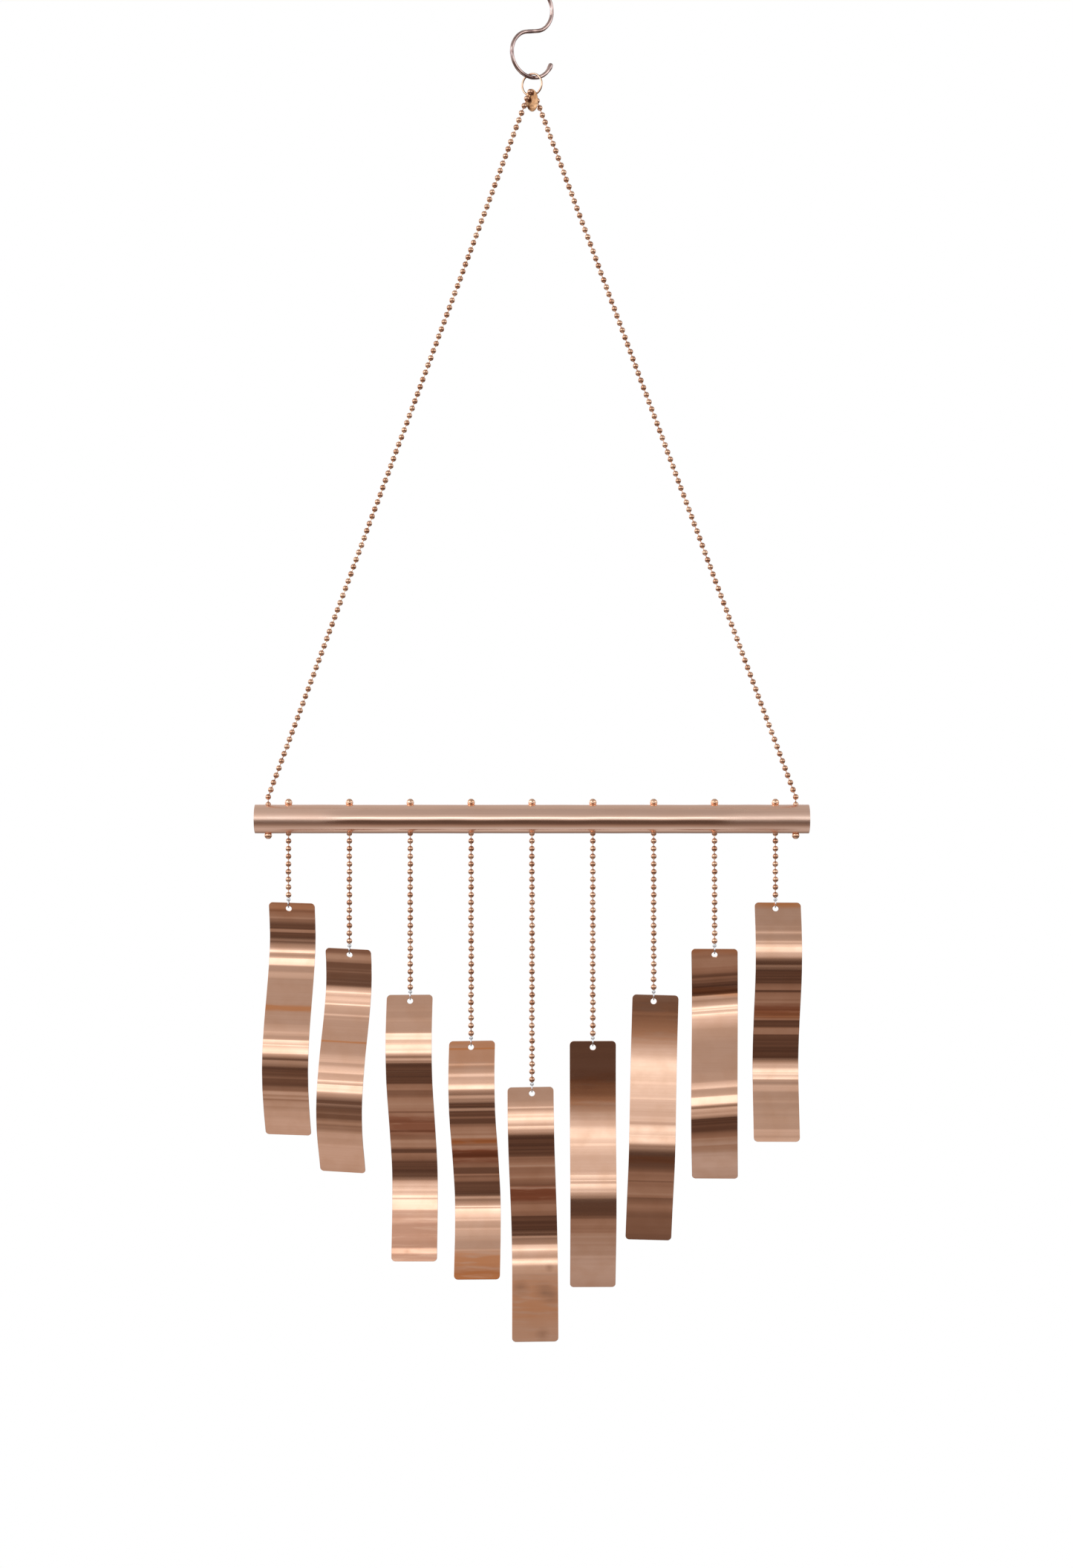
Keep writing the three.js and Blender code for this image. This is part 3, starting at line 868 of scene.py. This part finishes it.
def make_drop_chain(number, copper, steel):
    """The beads of one drop: those inside the tube, the hanging run, and the wire eye at its foot."""
    dice = random.Random(100 + number)
    stop = middle(f"stop_ball_{number}")
    stop.x = drop_x(number)
    pivot = stop - UP * PITCH * (BEADS_IN_TUBE + 0.5)
    head = Shells()
    inside = straight_beads(stop - UP * PITCH, BEADS_IN_TUBE)
    add_beads(head, inside, dice)
    add_links(head, [stop] + inside)
    add_elbow(head, inside[-1], pivot)
    head.piece(f"head_beads_{number}", copper, f"head_{number}", [f"chain_head_{number}"], "chain_copper")

    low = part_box(f"drop_chain_{number}")[0]
    first = stop - UP * PITCH * (BEADS_IN_TUBE + 1)
    eye_z = low.z + EYE_R + EYE_WIRE_R
    count = round((first.z - eye_z - EYE_DROP) / PITCH) + 1
    run = straight_beads(first, count)
    chain = Shells()
    loose = jitter(run, dice, DROP_PLAY)
    add_beads(chain, loose, dice)
    add_links(chain, loose)
    add_half_link(chain, run[0], pivot)
    chain.piece(f"drop_beads_{number}", copper, f"drop_{number}", [f"drop_chain_{number}"], "chain_copper")

    centre = Vector((stop.x, 0, eye_z))
    line = [run[-1] - UP * 0.5 * MM, run[-1] - UP * 1.3 * MM, centre + UP * (EYE_R + 0.25 * MM)]
    for i in range(EYE_STEPS + 1):
        angle = math.radians(EYE_START - EYE_SWEEP * i / EYE_STEPS)
        line.append(centre + Vector((math.cos(angle), 0, math.sin(angle))) * EYE_R)
    eye = Shells()
    eye.add(*swept(line, [EYE_WIRE_R] * len(line), EYE_SIDES))
    eye.piece(f"drop_eye_{number}", steel, f"drop_{number}", [], "link_steel", sharp=60)


def make_link_ring(number, steel):
    """A small split ring of steel wire, its cut turned to one side."""
    centre = middle(f"link_ring_{number}")
    start = math.radians(20 + 25 * (number % 3))
    line = []
    for i in range(LINK_RING_STEPS + 1):
        angle = start + LINK_RING_SPLIT / 2 + (2 * math.pi - LINK_RING_SPLIT) * i / LINK_RING_STEPS
        line.append(centre + Vector((0, math.cos(angle), math.sin(angle))) * LINK_RING_R)
    shells = Shells()
    shells.add(*swept(line, [LINK_RING_WIRE_R] * len(line), LINK_RING_SIDES))
    node = f"link_ring_{number}"
    shells.piece(f"{node}_wire", steel, f"link_{number}", [node], "link_steel", sharp=60)


# Strips. Bands are (share of the way down, half width as a share, strength). Smudges are (across, share
# down, size, strength). Ripple is (share down, strength) of the bending rollers' marks, streak scales the
# depth of the finer lines, and skew is how far the bends run down the strip for each metre across it.

def look(ripple=((0, 1), (1, 1)), streak=1.0, roughness=0.07, skew=0.0, orange=(), brown=(), smudges=()):
    return {"ripple": ripple, "streak": streak, "roughness": roughness, "skew": skew,
            "orange": orange, "brown": brown, "smudges": smudges}


def along(levels, share):
    """The value at a share of the way down, from (share, value) pairs joined by straight lines."""
    for (a, low), (b, high) in zip(levels, levels[1:]):
        if share <= b:
            return low + (high - low) * (share - a) / (b - a)
    return levels[-1][1]


LOOKS = {
    # Strip 1's thin orange line a little above half way down is a painted reflection, the orange glint where
    # the strip slopes most; its band at the top is heat colour.
    1: look(ripple=((0, 1), (0.3, 1), (0.36, 0.3), (0.5, 0.3), (0.56, 1), (0.86, 1), (0.92, 0.3), (1, 0.25)),
            orange=[(0.0, 0.07, 0.5), (0.44, 0.017, 0.8)]),
    2: look(ripple=((0, 1), (0.3, 1), (0.36, 0.3), (0.45, 0.3), (0.5, 1), (0.87, 1), (0.92, 0.2), (1, 0.15)),
            orange=[(0.40, 0.006, 0.8)], brown=[(0.0, 0.03, 0.3)]),
    3: look(ripple=((0, 0.3), (0.1, 0.8), (0.2, 1), (0.8, 1), (0.88, 0.4), (1, 0.3)), streak=1.5,
            brown=[(0.49, 0.06, 0.7), (0.92, 0.14, 0.4)], smudges=[(-4 * MM, 0.965, 2.2 * MM, 0.9)]),
    4: look(ripple=((0, 0.4), (0.1, 1), (0.84, 1), (0.9, 0.4), (1, 0.2)),
            orange=[(0.005, 0.035, 0.45), (0.05, 0.09, 0.35), (0.033, 0.006, 0.9),
                    (0.42, 0.018, 0.95), (0.925, 0.05, 0.75), (1.0, 0.06, 1.0)],
            brown=[(0.485, 0.05, 0.9), (1.0, 0.07, 0.3)]),
    5: look(ripple=((0, 0.4), (0.08, 1), (0.7, 1), (0.78, 0.2), (1, 0.2)), streak=1.5,
            orange=[(0.83, 0.12, 0.5), (0.93, 0.15, 0.25)], brown=[(0.425, 0.05, 0.85)],
            smudges=[(-8 * MM, 0.80, 6 * MM, 0.9), (5 * MM, 0.81, 7 * MM, 0.9), (9 * MM, 0.83, 6 * MM, 0.8),
                     (4 * MM, 0.975, 5 * MM, 0.8), (8 * MM, 0.72, 3 * MM, 0.8)]),
    6: look(ripple=((0, 0.12), (0.5, 0.12), (0.56, 0.8), (0.84, 0.8), (0.9, 0.12), (1, 0.12)),
            streak=0.6, roughness=0.14, orange=[(0.19, 0.09, 0.6)]),
    7: look(ripple=((0, 0.12), (0.5, 0.12), (0.55, 0.8), (0.82, 1), (0.86, 0.1), (1, 0.1)),
            streak=0.6, roughness=0.14, orange=[(0.10, 0.12, 0.5), (0.645, 0.02, 0.5)]),
    8: look(ripple=((0, 1), (0.3, 1), (0.36, 0.15), (0.5, 0.3), (0.56, 1), (0.84, 1), (0.88, 0.4), (1, 0.3)),
            skew=0.085, orange=[(0.0, 0.03, 0.5), (0.19, 0.025, 0.6)]),
    9: look(ripple=((0, 0.3), (0.1, 1), (0.76, 1), (0.85, 0.3), (1, 0.3)),
            streak=1.6, orange=[(0.0, 0.03, 0.95), (0.47, 0.03, 0.6)], brown=[(0.45, 0.035, 0.7)]),
}


# How each CAD strip hangs: degrees turned about the vertical, and rolled so that its foot goes to the left.
HANG = {1: (-3, 1.6), 2: (-6, 2.5), 3: (-4, -0.7), 4: (-5, -1.4), 5: (-2, -1.2),
        6: (0, -0.2), 7: (0, 1.5), 8: (-5, 0), 9: (0, 0.2)}


class StripLine:
    """The middle line of a CAD strip, found by looking through it from front and back, and smoothed.
    It is worked out in the strip's own frame, where the strip hangs straight and faces the front."""

    STEP = 0.3 * MM
    REACH = 9 * MM
    BLUR = 3.2 * MM
    MARGIN = 0.4 * MM
    END_RUN = 13
    FAR = 60 * MM

    def __init__(self, number, ripple):
        turn, roll = (math.radians(a) for a in HANG[number])
        hang = Matrix.Translation((drop_x(number), 0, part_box(f"link_ring_{number}")[0].z))
        self.matrix = hang @ Matrix.Rotation(roll, 4, "Y") @ Matrix.Rotation(turn, 4, "Z")
        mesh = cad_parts[f"strip_{number}"].data
        own = self.matrix.inverted()
        corners = [own @ v.co for v in mesh.vertices]
        tree = BVHTree.FromPolygons(corners, [tuple(p.vertices) for p in mesh.polygons])
        low = Vector(min(c[k] for c in corners) for k in range(3))
        high = Vector(max(c[k] for c in corners) for k in range(3))
        self.x = (low.x + high.x) / 2
        self.top, self.foot = high.z, low.z
        count = round((self.top - self.foot) / self.STEP)
        heights, depths = [], []
        for i in range(count + 1):
            z = self.top + (self.foot - self.top) * i / count
            seen = min(max(z, low.z + self.MARGIN), high.z - self.MARGIN)
            heights.append(z)
            depths.append((self.depth(tree, -self.REACH, seen) + self.depth(tree, self.REACH, seen)) / 2)
        self.heights = heights
        self.depths = self.rippled(self.smoothed(depths), number, ripple)
        self.lengths = [0.0]
        for i in range(count):
            step = math.hypot(heights[i + 1] - heights[i], self.depths[i + 1] - self.depths[i])
            self.lengths.append(self.lengths[-1] + step)
        self.length = self.lengths[-1]

    def depth(self, tree, across, z):
        front = tree.ray_cast(Vector((self.x + across, -self.FAR, z)), Vector((0, 1, 0)))[0]
        back = tree.ray_cast(Vector((self.x + across, self.FAR, z)), Vector((0, -1, 0)))[0]
        return (front.y + back.y) / 2

    def smoothed(self, values):
        reach = round(3 * self.BLUR / self.STEP)
        weights = [math.exp(-0.5 * (k * self.STEP / self.BLUR) ** 2) for k in range(-reach, reach + 1)]
        last = len(values) - 1
        head = (values[self.END_RUN] - values[0]) / self.END_RUN
        tail = (values[last] - values[last - self.END_RUN]) / self.END_RUN

        def at(i):
            if i < 0:
                return values[0] + head * i
            if i > last:
                return values[last] + tail * (i - last)
            return values[i]

        total = sum(weights)
        return [sum(w * at(i + k) for k, w in zip(range(-reach, reach + 1), weights)) / total
                for i in range(last + 1)]

    def rippled(self, values, number, ripple):
        """The narrow flats that bending rollers leave, strongest where the strip slopes most."""
        dice = random.Random(40 + number)
        tilts = []
        while len(tilts) < len(values):
            tilts += [dice.gauss(0, FLAT_TILT)] * dice.choice(FLAT_RUNS)
        last = len(values) - 1
        offset, flats = 0.0, []
        for i in range(last + 1):
            near = [tilts[min(max(i + k, 0), last)] for k in (-1, 0, 0, 1)]
            slope = abs(values[min(i + 1, last)] - values[max(i - 1, 0)]) / (2 * self.STEP)
            steep = FLAT_CALM + (1 - FLAT_CALM) * min(slope / FLAT_STEEP, 1.0)
            offset += sum(near) / 4 * along(ripple, i / last) * steep * self.STEP
            flats.append(offset)
        reach = round(FLAT_LEVEL / self.STEP)
        levelled = []
        for i in range(last + 1):
            window = flats[max(i - reach, 0):i + reach + 1]
            levelled.append(flats[i] - sum(window) / len(window))
        return [y + bump for y, bump in zip(values, levelled)]

    def at(self, length):
        """(depth, height, and the unit normal's depth and height) at a length down the strip."""
        share = min(max(length / self.length, 0.0), 1.0)
        i = min(int(share * (len(self.lengths) - 1)), len(self.lengths) - 2)
        while i > 0 and self.lengths[i] > length:
            i -= 1
        while i < len(self.lengths) - 2 and self.lengths[i + 1] < length:
            i += 1
        t = (length - self.lengths[i]) / (self.lengths[i + 1] - self.lengths[i])
        depth = self.depths[i] + (self.depths[i + 1] - self.depths[i]) * t
        height = self.heights[i] + (self.heights[i + 1] - self.heights[i]) * t
        a, b = max(i - 1, 0), min(i + 2, len(self.heights) - 1)
        dy, dz = self.depths[b] - self.depths[a], self.heights[b] - self.heights[a]
        size = math.hypot(dy, dz)
        return depth, height, -dz / size, dy / size


def make_strip(number):
    """A wavy copper strip with rounded corners and one punched hole, following its CAD solid."""
    style = LOOKS[number]
    line = StripLine(number, style["ripple"])
    cells = HOLE_CELLS
    block = STRIP_BLOCK
    half_w = STRIP_W / 2
    side = -line.x
    us = spread((-half_w, side - block / 2, SIDE_CELLS), (side - block / 2, side + block / 2, cells),
                (side + block / 2, half_w, SIDE_CELLS))
    start = STRIP_HOLE_AT - block / 2
    opening = math.acos(1 - start / STRIP_CORNER)
    head = [STRIP_CORNER * (1 - math.cos(opening * i / HEAD_STEPS)) for i in range(HEAD_STEPS + 1)]
    foot = []
    for i in range(FOOT_STEPS, -1, -1):
        foot.append(line.length - STRIP_CORNER * (1 - math.cos(math.pi / 2 * i / FOOT_STEPS)))
    body_count = round((foot[0] - start - block) / ROW)
    vs = head[:-1] + spread((start, start + block, cells), (start + block, foot[0], body_count)) + foot[1:]
    fixed = STRIP_STRAIGHT

    def place(u, v, s):
        inset = min(v, line.length - v)
        if inset < STRIP_CORNER:
            off = max(0.0, STRIP_CORNER ** 2 - (STRIP_CORNER - max(inset, 0.0)) ** 2)
            width = half_w - STRIP_CORNER + math.sqrt(off)
            if abs(u) > fixed:
                u = math.copysign(fixed + (abs(u) - fixed) * (width - fixed) / (half_w - fixed), u)
        height = line.at(v)[1]
        depth, _, ny, nz = line.at(v + u * style["skew"])
        return line.matrix @ Vector((line.x + u, depth + s * ny, height + s * nz))

    hole = (SIDE_CELLS, HEAD_STEPS, cells, STRIP_HOLE_R)
    points, faces, sheet = sheet_shell(us, vs, [hole], place, STRIP_THICK / 2)
    shells = Shells()
    shells.add(points, faces)
    shells.sheet = sheet
    node = f"strip_{number}"
    material = strip_material(number, line.length, style)
    shells.piece(f"{node}_sheet", material, node, [node], "strip_copper", sharp=40)


# Studio

def light_ramp(g, height, stops):
    """Brightness of the room against elevation in degrees."""
    return g.ramp(height, [((math.sin(math.radians(e)) + 1) / 2, colour) for e, colour in stops])


FRONT_ROOM = [
    (-90, (0.68, 0.73, 0.80)),
    (-76, (0.52, 0.53, 0.56)),
    (-66, (0.42, 0.38, 0.355)),
    (-56, (0.36, 0.29, 0.255)),
    (-47, (0.26, 0.20, 0.17)),
    (-39, (0.09, 0.060, 0.050)),
    (-34, (0.17, 0.125, 0.105)),
    (-30, (0.075, 0.050, 0.042)),
    (-25, (0.15, 0.108, 0.090)),
    (-20, (0.065, 0.042, 0.036)),
    (-13, (0.14, 0.105, 0.088)),
    (-6, (0.50, 0.47, 0.45)),
    (0, (0.85, 0.89, 0.94)),
    (4, (1.25, 1.42, 1.55)),
    (6.5, (1.80, 2.15, 2.40)),
    (9.5, (1.80, 2.10, 2.30)),
    (13, (1.08, 1.18, 1.27)),
    (17, (0.82, 0.85, 0.89)),
    (24, (0.62, 0.63, 0.64)),
    (34, (0.51, 0.51, 0.52)),
    (90, (0.44, 0.44, 0.45)),
]
SIDE_ROOM = [
    (-90, (0.66, 0.66, 0.68)),
    (-60, (0.45, 0.42, 0.40)),
    (-38, (0.20, 0.16, 0.14)),
    (-18, (0.24, 0.20, 0.18)),
    (-4, (0.70, 0.72, 0.76)),
    (6, (1.15, 1.30, 1.45)),
    (20, (1.05, 1.15, 1.25)),
    (32, (0.60, 0.60, 0.61)),
    (90, (0.52, 0.52, 0.52)),
]


def make_room():
    """A plain pale studio: soft light a little above eye level, darker below it, white behind the object."""
    world = bpy.data.worlds.new("studio")
    bpy.context.scene.world = world
    g = Graph(world)
    way = g.add("TexCoord").outputs["Generated"]
    split = g.add("SeparateXYZ", {0: way})
    x, y, z = split.outputs
    height = g.scaled(z, 0.5, 0.5)
    front = light_ramp(g, height, FRONT_ROOM)
    side = light_ramp(g, height, SIDE_ROOM)
    wide = g.math("DIVIDE", g.math("ABSOLUTE", x), g.math("MAXIMUM", g.math("MULTIPLY", y, -1.0), 0.001))
    room = g.mix(g.smooth(wide, 0.12, 0.60), front, side)
    shade = g.smooth(x, -0.7, 0.7, 1.15, 0.72)
    room = g.mix(1.0, room, g.add("CombineColor", {0: shade, 1: shade, 2: shade}).outputs[0], "MULTIPLY")
    lit = g.add("Background", {"Color": room, "Strength": 1.0})
    white = g.add("Background", {"Color": grey(1), "Strength": 1.0})
    seen = g.add("LightPath").outputs["Is Camera Ray"]
    both = g.add("MixShader", {0: seen, 1: lit.outputs[0], 2: white.outputs[0]})
    g.add("OutputWorld", {"Surface": both.outputs[0]})


def make_floor():
    ring = []
    for k in range(FLOOR_SIDES):
        angle = 2 * math.pi * k / FLOOR_SIDES
        ring.append((FLOOR_R * math.cos(angle), FLOOR_R * math.sin(angle), -FLOOR_DROP))
    mesh = bpy.data.meshes.new("floor")
    mesh.from_pydata(ring, [], [tuple(range(FLOOR_SIDES))])
    mesh.materials.append(floor_material())
    floor = bpy.data.objects.new("floor", mesh)
    bpy.context.scene.collection.objects.link(floor)
    floor.visible_glossy = False


def make_light(name, place, size, energy):
    lamp = bpy.data.lights.new(name, "AREA")
    lamp.shape = "SQUARE"
    lamp.size = size
    lamp.energy = energy
    light = bpy.data.objects.new(name, lamp)
    bpy.context.scene.collection.objects.link(light)
    light.location = place
    aim = AIM - Vector(place)
    light.rotation_euler = aim.to_track_quat("-Z", "Y").to_euler()


def make_camera():
    data = bpy.data.cameras.new("camera")
    data.sensor_width = SENSOR
    data.lens = SENSOR * VIEW_DISTANCE / VIEW_HEIGHT
    camera = bpy.data.objects.new("camera", data)
    bpy.context.scene.collection.objects.link(camera)
    camera.location = (VIEW_X, -VIEW_DISTANCE, VIEW_TOP - VIEW_HEIGHT / 2)
    camera.rotation_euler = (math.pi / 2, 0, 0)
    bpy.context.scene.camera = camera


# The chime

bpy.context.scene.view_settings.view_transform = "Standard"

# Name, bright colour, tarnished colour, roughness, patch scale, share of tarnish, skin depth
WIRES = [
    ("bead_copper", (0.90, 0.55, 0.37, 1), (0.50, 0.22, 0.12, 1), 0.06, 240, 0.85, 1.5e-6),
    ("stop_copper", (0.93, 0.58, 0.40, 1), (0.84, 0.44, 0.25, 1), 0.08, 240, 0.7, 1.5e-6),
    ("hook_copper", (0.70, 0.50, 0.44, 1), (0.20, 0.12, 0.11, 1), 0.08, 170, 0.9, 2.5e-6),
    ("ring_copper", (0.72, 0.46, 0.32, 1), (0.48, 0.26, 0.16, 1), 0.10, 200, 0.8, 2e-6),
    ("link_steel", (0.80, 0.80, 0.80, 1), (0.55, 0.55, 0.56, 1), 0.18, 400, 0.6, 2e-6),
]
bead_copper, stop_copper, hook_copper, ring_copper, link_steel = (wire_material(*wire) for wire in WIRES)

make_hook(hook_copper)
make_ring(ring_copper)
make_tag(tag_material())
make_legs(bead_copper)
make_tube(tube_material())
for end, seam in (("left", -2.0), ("right", -1.2)):
    make_stop(f"leg_stop_{end}", "cross_tube", seam, stop_copper)
for n in range(1, DROPS + 1):
    make_stop(f"stop_ball_{n}", f"head_{n}", -1.57 + 0.5 * math.sin(2.3 * n), stop_copper)
    make_drop_chain(n, bead_copper, link_steel)
    make_link_ring(n, link_steel)
    make_strip(n)

make_room()
make_floor()
make_light("key", (-1.5, -1.5, 0.6), 0.9, 9)
make_light("fill", (1.6, -0.9, 0.4), 1.2, 4)
make_camera()
